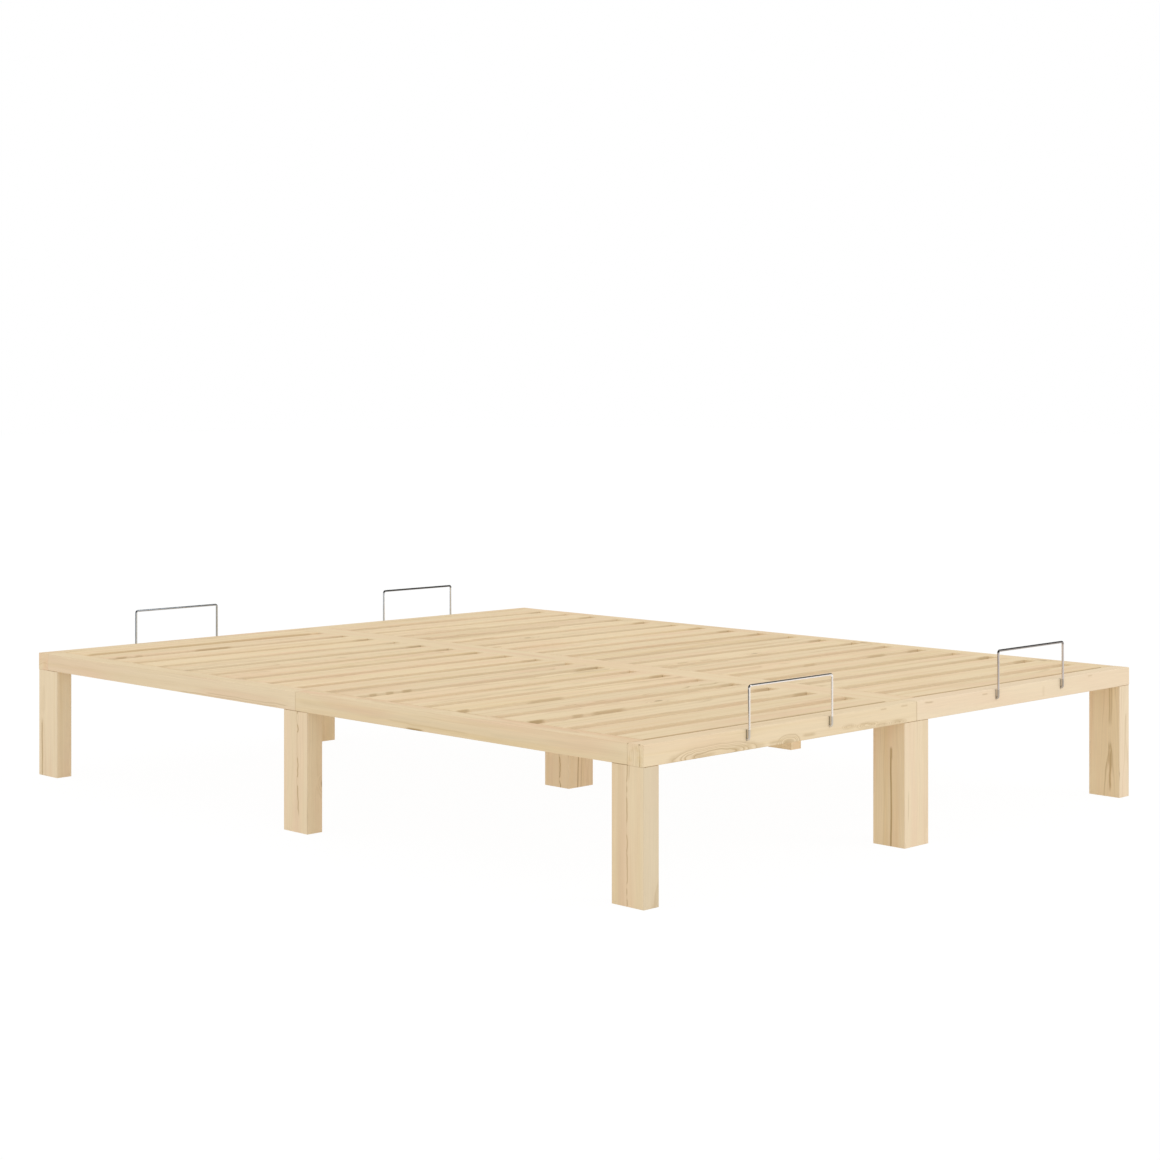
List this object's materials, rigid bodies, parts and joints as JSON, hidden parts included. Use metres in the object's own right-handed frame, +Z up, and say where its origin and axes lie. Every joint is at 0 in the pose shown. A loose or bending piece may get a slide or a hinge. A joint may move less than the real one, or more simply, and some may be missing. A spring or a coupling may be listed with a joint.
{
  "type": "slatted bed",
  "caption": "Low wooden platform bed: slats set flush in a rail frame on square legs, with wire mattress stops at both ends.",
  "frame": {"origin": "on the floor, under the middle of the deck", "axes": "+X along the bed towards its front end, +Y across it to the right side, +Z up"},
  "size_m": [2.015, 1.6, 0.3744],
  "materials": {
    "pine_leg": "planed pine, clear oil",
    "pine_rail": "planed pine, clear oil",
    "pine_slat": "planed pine, clear oil",
    "steel_wire": "bright zinc-plated drawn wire"
  },
  "bodies": {
    "frame": {"leg_front_left": "pine_leg", "leg_front_middle": "pine_leg", "leg_front_right": "pine_leg", "leg_centre_left": "pine_leg", "leg_centre_middle": "pine_leg", "leg_centre_right": "pine_leg", "leg_back_left": "pine_leg", "leg_back_middle": "pine_leg", "leg_back_right": "pine_leg", "end_rail_front_left": "pine_rail", "end_rail_front_right": "pine_rail", "end_rail_back_left": "pine_rail", "end_rail_back_right": "pine_rail", "side_rail_left_front": "pine_rail", "side_rail_left_back": "pine_rail", "side_rail_right_front": "pine_rail", "side_rail_right_back": "pine_rail", "centre_beam_front": "pine_rail", "centre_beam_back": "pine_rail", "cross_beam": "pine_rail", "slat_left_01": "pine_slat", "slat_left_02": "pine_slat", "slat_left_03": "pine_slat", "slat_left_04": "pine_slat", "slat_left_05": "pine_slat", "slat_left_06": "pine_slat", "slat_left_07": "pine_slat", "slat_left_08": "pine_slat", "slat_left_09": "pine_slat", "slat_left_10": "pine_slat", "slat_left_11": "pine_slat", "slat_left_12": "pine_slat", "slat_left_13": "pine_slat", "slat_left_14": "pine_slat", "slat_left_15": "pine_slat", "slat_left_16": "pine_slat", "slat_left_17": "pine_slat", "slat_left_18": "pine_slat", "slat_right_01": "pine_slat", "slat_right_02": "pine_slat", "slat_right_03": "pine_slat", "slat_right_04": "pine_slat", "slat_right_05": "pine_slat", "slat_right_06": "pine_slat", "slat_right_07": "pine_slat", "slat_right_08": "pine_slat", "slat_right_09": "pine_slat", "slat_right_10": "pine_slat", "slat_right_11": "pine_slat", "slat_right_12": "pine_slat", "slat_right_13": "pine_slat", "slat_right_14": "pine_slat", "slat_right_15": "pine_slat", "slat_right_16": "pine_slat", "slat_right_17": "pine_slat", "slat_right_18": "pine_slat"},
    "stop_front_left": {"mattress_stop_front_left": "steel_wire"},
    "stop_front_right": {"mattress_stop_front_right": "steel_wire"},
    "stop_back_left": {"mattress_stop_back_left": "steel_wire"},
    "stop_back_right": {"mattress_stop_back_right": "steel_wire"}
  },
  "joints": [
    {"name": "stop_front_left_slide", "type": "slide", "parent": "frame", "child": "stop_front_left", "axis": [1, 0, 0], "range_m": [0, 0.028]},
    {"name": "stop_front_right_slide", "type": "slide", "parent": "frame", "child": "stop_front_right", "axis": [1, 0, 0], "range_m": [0, 0.028]},
    {"name": "stop_back_left_slide", "type": "slide", "parent": "frame", "child": "stop_back_left", "axis": [-1, 0, 0], "range_m": [0, 0.028]},
    {"name": "stop_back_right_slide", "type": "slide", "parent": "frame", "child": "stop_back_right", "axis": [-1, 0, 0], "range_m": [0, 0.028]}
  ]
}
